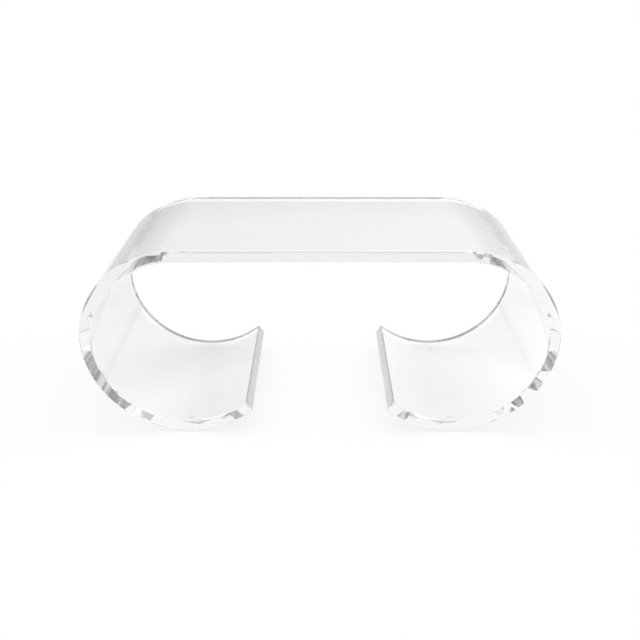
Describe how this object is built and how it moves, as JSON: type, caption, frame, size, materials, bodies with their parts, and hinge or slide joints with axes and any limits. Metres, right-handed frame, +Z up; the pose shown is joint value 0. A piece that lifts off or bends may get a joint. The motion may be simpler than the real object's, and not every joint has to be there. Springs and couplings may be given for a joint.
{
  "type": "coffee table",
  "caption": "Clear acrylic waterfall coffee table: one thick sheet whose ends roll down and under into open scrolls, resting on small clear bumpers.",
  "frame": {"origin": "on the floor, under the centre of the table top", "axes": "+X along the table to its right end, +Y from front to rear, +Z up"},
  "size_m": [1.0548, 0.457, 0.432],
  "materials": {
    "clear_acrylic": "polished",
    "acrylic_cement": "polished",
    "clear_bumper": "gloss"
  },
  "bodies": {
    "root": {"top_slab": "clear_acrylic", "left_scroll": "clear_acrylic", "right_scroll": "clear_acrylic", "left_cement_bond": "acrylic_cement", "right_cement_bond": "acrylic_cement", "left_front_bumper": "clear_bumper", "left_rear_bumper": "clear_bumper", "right_front_bumper": "clear_bumper", "right_rear_bumper": "clear_bumper"}
  },
  "joints": []
}
